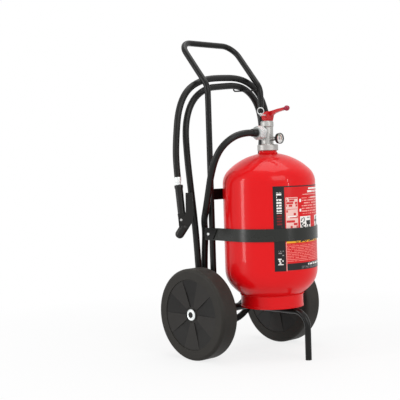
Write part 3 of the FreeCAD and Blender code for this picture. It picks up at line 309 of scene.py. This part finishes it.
materials = {
    "red_paint": finish("red_paint", colour(222, 9, 16), 0.32, 0.06, 60, 0.04, 0.05, 5, 0.015,
                        Specular_IOR_Level=0.1, Coat_Weight=0.24, Coat_Roughness=0.03),
    "black_paint": finish("black_paint", colour(15, 15, 14), 0.3, 0.12, 700, 0.02, 0.3, 12, 0.04,
                          Specular_IOR_Level=0.22),
    "band_paint": finish("band_paint", colour(31, 33, 30), 0.27, 0.1, 600, 0.02, 0.3, 14, 0.05,
                         Specular_IOR_Level=0.3),
    "cast_metal": finish("cast_metal", colour(174, 173, 170), 0.48, 0.14, 900, 0.05, 0.16, 40, 0.05,
                         Metallic=1.0),
    "brass": finish("brass", colour(196, 160, 84), 0.3, 0.1, 300, 0.03, 0.2, 50, 0.05, Metallic=1.0),
    "steel": finish("steel", colour(190, 190, 188), 0.26, 0.12, 300, 0.03, 0.15, 60, 0.03, Metallic=1.0),
    "hose_rubber": finish("hose_rubber", colour(18, 18, 17), 0.38, 0.1, 420, 0.08, 0.3, 14, 0.05,
                          Specular_IOR_Level=0.24),
    "seal_rubber": finish("seal_rubber", colour(22, 22, 22), 0.6, 0.1, 500, 0.05, 0.2, 20, 0.05),
    "foot_rubber": finish("foot_rubber", colour(26, 25, 24), 0.5, 0.1, 400, 0.1, 0.3, 20, 0.1,
                          Specular_IOR_Level=0.3),
    "tyre": finish("tyre", colour(41, 39, 36), 0.55, 0.1, 380, 0.1, 0.18, 9, 0.14, Specular_IOR_Level=0.16),
    "bush_plastic": finish("bush_plastic", colour(205, 203, 196), 0.45, 0.1, 300, 0.05, 0.1, 20, 0.1),
    "black_plastic": finish("black_plastic", colour(22, 21, 20), 0.34, 0.1, 460, 0.06, 0.2, 16, 0.05,
                            Specular_IOR_Level=0.26),
    "lever_red": finish("lever_red", colour(192, 12, 22), 0.4, 0.1, 240, 0.04, 0.1, 20, 0.02,
                        Specular_IOR_Level=0.26, Coat_Weight=0.2, Coat_Roughness=0.12),
    "knob_red": finish("knob_red", colour(150, 18, 52), 0.3, 0.08, 200, 0.04, 0.12, 30, 0.02,
                       Specular_IOR_Level=0.4),
    "seal_plastic": finish("seal_plastic", colour(196, 30, 24), 0.4, 0.1, 300, 0.04, 0.1, 30, 0.03),
    "needle_paint": finish("needle_paint", colour(30, 28, 28), 0.4, 0.1, 300, 0.02, 0.1, 30, 0.0),
}
print(len(materials), "finishes")

# %% [markdown]
# ## The gauge's lens
#
# The lens is a thin clear disc. A low alpha lets the dial show at full brightness and leaves a
# faint gloss on the glass.

# %% Clear lens
clear, tree, shader = start_material("lens", Roughness=0.03, Alpha=0.12)
tint(tree, shader, colour(240, 242, 244), 0.02, 30, 0.0)
materials["lens"] = clear
print("lens ready")

# %% [markdown]
# ## Prints without pictures
#
# The label and the dial are printed by arithmetic. `patch_mask` is one inside a rectangle, and
# `marks` makes rows of dashes that are left out by chance, which read as small print from a
# distance without being letters.

# %% Print groups
patch_group, given, put = shader_group(
    "patch_mask", [(word, NUMBER, 0) for word in ("Across", "Up", "Left", "Right", "Low", "High")],
    [("Mask", NUMBER)])
sides = []
for value, low, high in (("Across", "Left", "Right"), ("Up", "Low", "High")):
    sides.append(calc(patch_group, "GREATER_THAN", given[value], given[low]))
    sides.append(calc(patch_group, "LESS_THAN", given[value], given[high]))
inside = sides[0]
for side in sides[1:]:
    inside = calc(patch_group, "MULTIPLY", inside, side)
patch_group.links.new(inside, put["Mask"])

marks_group, given, put = shader_group(
    "marks", [("Across", NUMBER, 0), ("Up", NUMBER, 0), ("Length", NUMBER, 3), ("Row", NUMBER, 6),
              ("Fill", NUMBER, 0.5), ("Density", NUMBER, 0.7)], [("Mask", NUMBER)])
row = calc(marks_group, "DIVIDE", given["Up"], given["Row"])
line_number = calc(marks_group, "FLOOR", row)
shift = calc(marks_group, "MULTIPLY", line_number, 0.37)
cell = calc(marks_group, "FLOOR", calc(marks_group, "ADD", calc(marks_group, "DIVIDE", given["Across"],
                                                                given["Length"]), shift))
spot = add(marks_group, "ShaderNodeCombineXYZ", {"X": cell, "Y": line_number})
chance = add(marks_group, "ShaderNodeTexWhiteNoise", {"Vector": spot.outputs[0]}, noise_dimensions="2D")
drawn = calc(marks_group, "LESS_THAN", chance.outputs["Value"], given["Density"])
level_in_row = calc(marks_group, "FRACT", row)
in_row = calc(marks_group, "LESS_THAN", level_in_row, given["Fill"])
marks_group.links.new(calc(marks_group, "MULTIPLY", drawn, in_row), put["Mask"])
print("print groups:", patch_group.name, marks_group.name)


# %% [markdown]
# Two functions place those groups in a material, and a third measures where a point of the object
# lies, in millimetres.

# %% Print helpers
def patch_on(tree, across, up, box):
    """The mask of one rectangle: left, right, low and high."""
    node = add(tree, "ShaderNodeGroup", node_tree=patch_group)
    tree.links.new(across, node.inputs["Across"])
    tree.links.new(up, node.inputs["Up"])
    for word, value in zip(("Left", "Right", "Low", "High"), box):
        node.inputs[word].default_value = value
    return node.outputs["Mask"]


def marks_on(tree, across, up, length, row, fill, density):
    """Rows of dashes of this length and row height."""
    node = add(tree, "ShaderNodeGroup", node_tree=marks_group)
    tree.links.new(across, node.inputs["Across"])
    tree.links.new(up, node.inputs["Up"])
    for word, value in (("Length", length), ("Row", row), ("Fill", fill), ("Density", density)):
        node.inputs[word].default_value = value
    return node.outputs["Mask"]


def in_millimetres(tree, axis, offset=0.0):
    """An object coordinate in millimetres."""
    split = add(tree, "ShaderNodeSeparateXYZ", {0: add(tree, "ShaderNodeTexCoord").outputs["Object"]})
    return calc(tree, "MULTIPLY_ADD", split.outputs[axis], 1000.0, offset)


print("print helpers ready")

# %% [markdown]
# ## Plated metal
#
# The outlet nut's flats are bright, while its turned end, which looks left along the hose, gets painted
# shade: a darker grey in its colour.
# Far below it the same plating covers the axle's caps, which get no painted shade and are bright all round.

# %% Plated metal
plated_metal, tree, shader = start_material("plated_metal", Metallic=0.5)
split = add(tree, "ShaderNodeSeparateXYZ", {0: add(tree, "ShaderNodeNewGeometry").outputs["Normal"]})
looking_left = calc(tree, "MULTIPLY", split.outputs["X"], -1.0)
turned_end = add(tree, "ShaderNodeMapRange", {0: looking_left, 1: 0.6, 2: 0.9}).outputs[0]
at_the_valve = calc(tree, "GREATER_THAN", in_millimetres(tree, "Z"), 600.0)
# Painted shade: faces that look left near the valve are coloured a darker grey.
painted_end_shade = calc(tree, "MULTIPLY", turned_end, at_the_valve)
tint(tree, shader, blend(tree, painted_end_shade, colour(236, 240, 239), colour(132, 134, 132)), 0.05, 60, 0.02)
roughen(tree, shader, 0.4, 0.06, 300, 0.004)
materials["plated_metal"] = plated_metal
print("plated metal ready")

# %% [markdown]
# ## The label
#
# Each row of the list is one printed patch: its box, its colour and, where it is small print, the
# dashes' length, row height, fill and density. Later rows print over earlier ones. A box is left,
# right, low and high in millimetres: across goes round the tank from the label's left edge, and up
# is the height above the floor.

# %% Label print
TANK_RADIUS = 150
LABEL_FROM = 226
WHITE = colour(244, 240, 236)
INK = colour(26, 24, 26)
PALE = colour(240, 196, 188)
label_patches = [
    ((36.7, 230, 549.5, 553), INK, None),
    ((0, 36.7, 288, 553), INK, None),
    ((11, 27, 468, 534), WHITE, (16, 8.6, 0.66, 0.97)),
    ((16.5, 19, 468, 534), INK, (3, 14, 0.5, 0.9)),
    ((11, 27, 410, 464), colour(120, 26, 30), (16, 9.0, 0.6, 0.97)),
    ((13, 30, 334, 352), colour(150, 146, 146), (4, 7.0, 0.5, 0.7)),
    ((11, 28, 308, 328), WHITE, (5.6, 6.0, 0.8, 0.75)),
    ((38.2, 39.6, 288, 378), PALE, None),
    ((40.3, 83, 417, 517), PALE, None),
    ((42, 81.5, 419, 447), colour(206, 40, 42), (7, 8.6, 0.8, 0.6)),
    ((42, 81.5, 452, 481), colour(206, 40, 42), (8.5, 9.4, 0.82, 0.6)),
    ((42, 81.5, 486, 515), colour(206, 40, 42), (6, 8.0, 0.8, 0.62)),
    ((46, 78, 455, 459), WHITE, None),
    ((90, 97, 501, 511), WHITE, None),
    ((90, 97, 471, 480), WHITE, None),
    ((100, 230, 463, 514), colour(246, 168, 160), (3.4, 8.4, 0.4, 0.72)),
    ((128, 230, 530, 545), WHITE, (5.4, 15.0, 0.75, 0.8)),
    ((104, 230, 523.6, 525.2), PALE, None),
    ((140, 230, 512, 520), PALE, (4.0, 8.0, 0.5, 0.7)),
    ((91, 142, 419, 456), WHITE, None),
    ((93, 112, 421, 453), INK, (4.4, 4.6, 1.0, 0.45)),
    ((118, 140, 421, 453), INK, (6.0, 6.6, 1.0, 0.55)),
    ((172, 222, 419, 456), WHITE, None),
    ((174, 220, 421, 453), INK, (6.0, 6.6, 1.0, 0.5)),
    ((40.3, 230, 374.6, 381.8), colour(246, 176, 40), None),
    ((72, 230, 375.6, 380.6), INK, (4.6, 7.0, 1.0, 0.6)),
    ((40.3, 172, 316, 370), colour(238, 128, 120), (2.8, 5.2, 0.42, 0.86)),
    ((176, 230, 316, 370), colour(238, 128, 120), (2.8, 5.2, 0.42, 0.6)),
    ((40.3, 230, 289.5, 311), INK, None),
    ((122, 206, 302, 309), WHITE, (4.4, 7.0, 0.8, 0.8)),
    ((92, 206, 293, 300), colour(140, 136, 138), (3.0, 3.4, 0.4, 0.75)),
]
label_film, tree, shader = start_material("label_film", Specular_IOR_Level=0.2, Coat_Weight=0.12,
                                          Coat_Roughness=0.25)
east = in_millimetres(tree, "X")
north = in_millimetres(tree, "Y", -TANK_Y)
up = in_millimetres(tree, "Z")
azimuth = calc(tree, "ARCTAN2", north, east)
across = calc(tree, "MULTIPLY_ADD", azimuth, TANK_RADIUS, math.radians(360 - LABEL_FROM) * TANK_RADIUS)
printed = colour(212, 16, 22)
for box, ink, dashes in label_patches:
    mask = patch_on(tree, across, up, box)
    if dashes:
        mask = calc(tree, "MULTIPLY", mask, marks_on(tree, across, up, *dashes))
    printed = blend(tree, mask, printed, ink)
tint(tree, shader, printed, 0.04, 8, 0.015)
roughen(tree, shader, 0.42, 0.06, 200, 0.02)
materials["label_film"] = label_film
print(len(label_patches), "printed patches")

# %% [markdown]
# ## The wheels' plastic
#
# Each wheel's face has five shallow sectors, and painted shade makes their colour darker than the faces
# between them.

# %% Wheel plastic
rim_plastic, tree, shader = start_material("rim_plastic", Specular_IOR_Level=0.18)
back = in_millimetres(tree, "Y", -AXLE_Y)
up = in_millimetres(tree, "Z", -AXLE_Z)
SECTOR_PITCH = math.radians(72)
turned = calc(tree, "FRACT", calc(tree, "DIVIDE", calc(tree, "ARCTAN2", up, back), SECTOR_PITCH))
# Painted shade: the sunk half of each sector is coloured darker, as if in shadow.
sunk_sector_shade = patch_on(tree, turned, distance(tree, back, up), (0, 0.5, 26, 110.5))
tint(tree, shader, blend(tree, sunk_sector_shade, colour(37, 35, 33), colour(22, 21, 20)), 0.2, 10, 0.1)
roughen(tree, shader, 0.44, 0.1, 520, 0.05)
materials["rim_plastic"] = rim_plastic
print("wheel plastic ready")

# %% [markdown]
# ## The gauge's dial
#
# The dial is a white card with a ring of colour bands: low pressure, working range and too high. A
# band's box is its first and last bearing in degrees and its inner and outer radius.

# %% Dial print
dial_card, tree, shader = start_material("dial_card", Specular_IOR_Level=0.2)
east = in_millimetres(tree, "X")
up = in_millimetres(tree, "Z", -GAUGE_Z)
reach = distance(tree, east, up)
bearing = calc(tree, "MULTIPLY", calc(tree, "ARCTAN2", east, up), 180 / math.pi)
printed = colour(244, 242, 238)
for box, ink in (((-115, 115, 12.9, 13.3), colour(60, 58, 56)),
                 ((-115, -40, 8.6, 12.4), colour(188, 60, 44)),
                 ((-40, 18, 8.6, 12.4), colour(70, 140, 72)),
                 ((18, 115, 8.6, 12.4), colour(176, 120, 56)),
                 ((-180, 180, 0, 2.6), colour(70, 68, 66))):
    printed = blend(tree, patch_on(tree, bearing, reach, box), printed, ink)
tint(tree, shader, printed, 0.03, 30, 0.0)
roughen(tree, shader, 0.5, 0.06, 300, 0.02)
materials["dial_card"] = dial_card
print("dial printed")

# %% [markdown]
# ## Dressing the solid parts
#
# The record says which finish each solid part takes. We look each part's slot up there and put
# our material of the same name in its place.

# %% Put materials on the solid parts
slot_of = {part["node"]: part["material_slot"] for part in frame["record"]["subparts"]}
for name, item in nodes.items():
    item.data.materials.clear()
    item.data.materials.append(materials[slot_of[name]])

hose.data.materials.append(materials["hose_rubber"])
print("materials on", len(nodes), "nodes")

# %% [markdown]
# ## Beads along a line
#
# A weld is a row of small overlapping beads, and the same idea makes the ribs on the nozzle's
# lever and the ticks on the dial. One Geometry Nodes tree takes any line, puts a point every
# so many millimetres and sets a bead of a given size there, turned to follow the line. Its random
# seed is fixed, so the beads come out the same every time.

# %% Bead tree
def geometry_group(name, inputs):
    """An empty Geometry Nodes tree with named inputs, its two end nodes and the sockets' identifiers."""
    tree = bpy.data.node_groups.new(name, "GeometryNodeTree")
    tree.interface.new_socket("Geometry", in_out="INPUT", socket_type="NodeSocketGeometry")
    keys = {}
    for label, kind, value in inputs:
        socket = tree.interface.new_socket(label, in_out="INPUT", socket_type=kind)
        if value is not None:
            socket.default_value = value
        keys[label] = socket.identifier
    tree.interface.new_socket("Geometry", in_out="OUTPUT", socket_type="NodeSocketGeometry")
    return tree, tree.nodes.new("NodeGroupInput").outputs, tree.nodes.new("NodeGroupOutput").inputs, keys


beads_tree, given, put, bead_keys = geometry_group("beads_along", [
    ("Spacing", NUMBER, 0.003), ("Size", POINT, (1, 1, 1)), ("Jitter", NUMBER, 0.1),
    ("Seed", "NodeSocketInt", 1), ("Material", "NodeSocketMaterial", None)])
path = add(beads_tree, "GeometryNodeMeshToCurve", {"Mesh": given["Geometry"]})
spots = add(beads_tree, "GeometryNodeCurveToPoints", {"Curve": path.outputs[0], "Length": given["Spacing"]},
            mode="LENGTH")
ball = add(beads_tree, "GeometryNodeMeshUVSphere", {"Segments": 10, "Rings": 6, "Radius": 0.001})
smooth = add(beads_tree, "GeometryNodeSetShadeSmooth", {"Geometry": ball.outputs["Mesh"]})
least = add(beads_tree, "ShaderNodeMath", {0: 1.0, 1: given["Jitter"]}, operation="SUBTRACT")
most = add(beads_tree, "ShaderNodeMath", {0: 1.0, 1: given["Jitter"]}, operation="ADD")
chance = add(beads_tree, "FunctionNodeRandomValue", {"Seed": given["Seed"]}, data_type="FLOAT")
beads_tree.links.new(least.outputs[0], chance.inputs[2])
beads_tree.links.new(most.outputs[0], chance.inputs[3])
size = add(beads_tree, "ShaderNodeVectorMath", {0: given["Size"], "Scale": chance.outputs[1]},
           operation="SCALE")
set_out = add(beads_tree, "GeometryNodeInstanceOnPoints", {
    "Points": spots.outputs["Points"], "Instance": smooth.outputs[0], "Rotation": spots.outputs["Rotation"],
    "Scale": size.outputs[0]})
made_real = add(beads_tree, "GeometryNodeRealizeInstances", {"Geometry": set_out.outputs[0]})
coloured = add(beads_tree, "GeometryNodeSetMaterial", {"Geometry": made_real.outputs[0],
                                                       "Material": given["Material"]})
beads_tree.links.new(coloured.outputs[0], put["Geometry"])
print("bead tree with inputs", list(bead_keys))


# %% [markdown]
# `beads` puts the tree on a piece made of lines, keeps the result as a plain mesh and says which
# body it rides on.

# %% Bead function
def line_piece(name, lines):
    """A mesh of loose edges through lists of points in millimetres."""
    points = []
    edges = []
    for line_points in lines:
        first = len(points)
        points += [Vector(point) * MM for point in line_points]
        edges += [(index, index + 1) for index in range(first, len(points) - 1)]
    mesh = bpy.data.meshes.new(name)
    mesh.from_pydata(points, edges, [])
    made = bpy.data.objects.new(name, mesh)
    bpy.context.scene.collection.objects.link(made)
    return made


def made_plain(item, tree, keys, values, material):
    """Runs a Geometry Nodes tree on an object and keeps its result as a plain mesh."""
    modifier = item.modifiers.new("nodes", "NODES")
    modifier.node_group = tree
    for label, value in values.items():
        modifier[keys[label]] = value
    modifier[keys["Material"]] = material
    bpy.context.view_layer.update()
    shape = bpy.data.meshes.new_from_object(item.evaluated_get(bpy.context.evaluated_depsgraph_get()))
    item.modifiers.remove(modifier)
    item.data = shape
    if not shape.materials:
        shape.materials.append(material)


def beads(name, lines, spacing, size, jitter, seed, slot, body):
    """A row of beads on each line, riding on a body. The size is in millimetres."""
    item = line_piece(name, lines)
    made_plain(item, beads_tree, bead_keys,
               {"Spacing": spacing * MM, "Size": size, "Jitter": jitter, "Seed": seed}, materials[slot])
    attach(item, body)
    print(name, len(item.data.vertices), "points")


# %% [markdown]
# ## The welds
#
# The tank's two rings are welded all round. On the frame, each leg is coped onto the axle tube, so
# its weld follows the line where two cylinders meet: round the leg, it rises and falls with the
# larger tube's circle. Each bead's middle lies a little outside the faces it joins.

# %% Weld lines
LEG_REACH = 10.4
BASE_REACH = 10.3
AXLE_REACH = 12.7
ROD_REACH = 2.9
BASE_ABOVE_AXLE = 4


def circle(centre, radius, steps=72):
    """Points round an upright axis."""
    angles = [math.radians(360 * step / steps) for step in range(steps + 1)]
    return [(centre[0] + radius * math.cos(angle), centre[1] + radius * math.sin(angle), centre[2])
            for angle in angles]


def leg_weld(side):
    """Where a leg meets the axle tube."""
    points = []
    for step in range(37):
        angle = math.radians(10 * step)
        out = LEG_REACH * math.sin(angle)
        points.append((LEG_X * side + LEG_REACH * math.cos(angle), AXLE_Y + out,
                       AXLE_Z + math.sqrt(AXLE_REACH ** 2 - out ** 2)))
    return points


def base_weld(side):
    """Where the base tube's left or right half meets the axle tube."""
    points = []
    for step in range(13):
        angle = math.radians(-85 + 135 * step / 12)
        out = BASE_ABOVE_AXLE + BASE_REACH * math.sin(angle)
        points.append((side * BASE_REACH * math.cos(angle), AXLE_Y - math.sqrt(AXLE_REACH ** 2 - out ** 2),
                       AXLE_Z + out))
    return points


def rod_weld(x, y, z, side):
    """A small ring round a hook's rod where it leaves the leg."""
    points = []
    for step in range(13):
        angle = math.radians(30 * step)
        aside = ROD_REACH * math.cos(angle)
        points.append((x + aside * 0.774, y + aside * 0.633 * side, z + ROD_REACH * math.sin(angle)))
    return points


strap_lines = [[(side * LEG_X + edge * 4.6, 84.2, 513 + step * 4) for step in range(9)]
               for side in (-1, 1) for edge in (-1, 1)]
beads("tank_welds", [circle((0, TANK_Y, 203.2), 101.8, 144), circle((0, TANK_Y, 658.0), 29.6)],
      2.6, (2.0, 2.0, 1.7), 0.12, 3, "red_paint", "trolley")
beads("frame_welds",
      [leg_weld(-1), leg_weld(1), base_weld(-1), base_weld(1), *strap_lines,
       rod_weld(-120.7, 82.7, 862.6, -1), rod_weld(-117.2, 87.0, 893.8, -1), rod_weld(119.7, 83.9, 876.4, 1)],
      2.2, (1.5, 1.5, 1.4), 0.15, 5, "black_paint", "trolley")

# %% [markdown]
# ## The nozzle's details
#
# The nozzle hangs turned 44 degrees, so its own frame is a rotation about the hose's end. The
# squeeze lever has a row of grip ribs on both cheeks, and the grip has raised rings. The grip
# leans a little, so each ring is shifted by its drop below the hose's end.

# %% Nozzle ribs
NOZZLE_TURN = math.radians(-44)
NOZZLE_AT = (-222, 130)


def in_nozzle(point):
    """A point of the nozzle's own frame in the shared frame."""
    x, y, z = point
    return (NOZZLE_AT[0] + x * math.cos(NOZZLE_TURN) - y * math.sin(NOZZLE_TURN),
            NOZZLE_AT[1] + x * math.sin(NOZZLE_TURN) + y * math.cos(NOZZLE_TURN), z)


LEVER_HALF = 16.2
GRIP_RADIUS = 12.55
GRIP_LEAN = 0.0765
HOSE_END_Z = 590
rib_lines = [[in_nozzle((28 + 2 * step, face * LEVER_HALF, 532 - 4.2 * row)) for step in range(8)]
             for face in (-1, 1) for row in range(6)]
beads("lever_ribs", rib_lines, 1.4, (0.8, 0.8, 1.2), 0.0, 7, "black_plastic", "trigger")
grip_lines = []
for row in range(5):
    drop = 44 + 3.2 * row
    middle = (GRIP_LEAN * drop, 0, HOSE_END_Z - drop)
    grip_lines.append([in_nozzle(point) for point in circle(middle, GRIP_RADIUS, 36)])
beads("grip_ridges", grip_lines, 1.6, (0.5, 0.5, 1.2), 0.0, 9, "black_plastic", "trolley")

# %% [markdown]
# ## Ticks and figures on the dial
#
# The ticks are flat beads on two arcs. The figures are text objects made into meshes, set upright
# on the dial's face.

# %% Dial ticks
DIAL_FACE = TANK_Y - 50.9


def dial_point(bearing, radius):
    """A point on the dial's face."""
    angle = math.radians(bearing)
    return (radius * math.sin(angle), DIAL_FACE, GAUGE_Z + radius * math.cos(angle))


tick_lines = [[dial_point(-110 + 20 * index, radius) for radius in (12.6, 13.4, 14.2)] for index in range(12)]
beads("dial_ticks", tick_lines, 0.5, (0.16, 0.16, 0.3), 0.0, 11, "needle_paint", "trolley")
figures = []
for bearing, label in ((-100, "0"), (0, "15"), (100, "30")):
    font = bpy.data.curves.new("figure", "FONT")
    font.body = label
    font.size = 3.6 * MM
    font.extrude = 0.05 * MM
    font.align_x = "CENTER"
    font.align_y = "CENTER"
    written = bpy.data.objects.new("figure", font)
    bpy.context.scene.collection.objects.link(written)
    bpy.context.view_layer.update()
    shape = bpy.data.meshes.new_from_object(written.evaluated_get(bpy.context.evaluated_depsgraph_get()))
    x, y, z = dial_point(bearing, 5.8)
    shape.transform(Matrix.Translation(Vector((x, y, z)) * MM) @ Matrix.Rotation(math.pi / 2, 4, "X"))
    figures.append(shape)
    bpy.data.objects.remove(written)
joined = bmesh.new()
for shape in figures:
    joined.from_mesh(shape)
figure_mesh = bpy.data.meshes.new("dial_figures")
joined.to_mesh(figure_mesh)
joined.free()
dial_figures = bpy.data.objects.new("dial_figures", figure_mesh)
bpy.context.scene.collection.objects.link(dial_figures)
figure_mesh.materials.append(materials["needle_paint"])
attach(dial_figures, "trolley")
print(len(figures), "figures on the dial")

# %% [markdown]
# ## Floor, backdrop and light
#
# The floor and the world are white where the camera, a mirror or glass sees them. The floor is
# plain paper for other light and keeps the shadow near the wheels. Four soft lamps shape the part:
# the key from the back left draws the narrow highlights on the tubes and the tank.

# %% Stage
def flat_piece(name, corners):
    """A flat face through these corners."""
    mesh = bpy.data.meshes.new(name)
    mesh.from_pydata(corners, [], [tuple(range(len(corners)))])
    made = bpy.data.objects.new(name, mesh)
    bpy.context.scene.collection.objects.link(made)
    return made


def seen_straight(tree):
    """1 where a camera, mirror or glass ray meets the surface, 0 for the light that spreads."""
    path = add(tree, "ShaderNodeLightPath")
    both = calc(tree, "MAXIMUM", path.outputs["Is Camera Ray"], path.outputs["Is Glossy Ray"])
    return calc(tree, "MAXIMUM", both, path.outputs["Is Transmission Ray"])


FLOOR_HALF = 30
NEAR_GLOW = 0.8
floor = flat_piece("floor", [(-FLOOR_HALF, -FLOOR_HALF, 0), (FLOOR_HALF, -FLOOR_HALF, 0),
                             (FLOOR_HALF, FLOOR_HALF, 0), (-FLOOR_HALF, FLOOR_HALF, 0)])
floor_paper = bpy.data.materials.new("floor_paper")
floor_paper.use_nodes = True
tree = floor_paper.node_tree
tree.nodes.clear()
paper = add(tree, "ShaderNodeBsdfDiffuse", {"Color": (0.9, 0.9, 0.9, 1)})
glow = add(tree, "ShaderNodeEmission", {"Color": (1, 1, 1, 1), "Strength": 1.0})
away = add(tree, "ShaderNodeVectorMath", {0: add(tree, "ShaderNodeTexCoord").outputs["Object"]},
           operation="LENGTH").outputs["Value"]
far = add(tree, "ShaderNodeMapRange", {"Value": away, "From Min": 0.5, "From Max": 1.6, "To Min": NEAR_GLOW,
                                       "To Max": 1.0}).outputs[0]
share = calc(tree, "MULTIPLY", seen_straight(tree), far)
mixed = add(tree, "ShaderNodeMixShader", {0: share, 1: paper.outputs[0], 2: glow.outputs[0]})
add(tree, "ShaderNodeOutputMaterial", {"Surface": mixed.outputs[0]})
floor.data.materials.append(floor_paper)

AMBIENT = 0.5
world = bpy.data.worlds.new("studio")
bpy.context.scene.world = world
world.use_nodes = True
tree = world.node_tree
background = tree.nodes["Background"]
background.inputs["Color"].default_value = (1, 1, 1, 1)
strength = calc(tree, "MULTIPLY_ADD", seen_straight(tree), 1 - AMBIENT, AMBIENT)
tree.links.new(strength, background.inputs["Strength"])


def lamp(name, at, aim, width, height, watts):
    """A rectangular soft lamp that faces a point."""
    data = bpy.data.lights.new(name, "AREA")
    data.shape = "RECTANGLE"
    data.size = width
    data.size_y = height
    data.energy = watts
    made = bpy.data.objects.new(name, data)
    turn = (Vector(aim) - Vector(at)).to_track_quat("-Z", "Y")
    made.matrix_world = Matrix.Translation(at) @ turn.to_matrix().to_4x4()
    bpy.context.scene.collection.objects.link(made)


tank_middle = (0, -0.03, 0.5)
lamp("key", (-2.8, 1.3, 0.9), tank_middle, 0.5, 2.2, 34)
lamp("front", (-1.2, -3.0, 2.4), tank_middle, 2.0, 1.6, 38)
lamp("strip", (-0.04, -2.3, 0.8), tank_middle, 0.05, 1.1, 5)
lamp("top", (0.3, 0.0, 3.2), tank_middle, 2.0, 2.0, 32)
print("stage and lamps ready")

bpy.context.scene.view_settings.view_transform = "Standard"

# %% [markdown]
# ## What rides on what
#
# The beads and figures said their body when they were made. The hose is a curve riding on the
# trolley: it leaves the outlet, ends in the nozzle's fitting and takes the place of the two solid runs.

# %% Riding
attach(hose, "trolley")
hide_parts("hose_lead", "hose_coil")
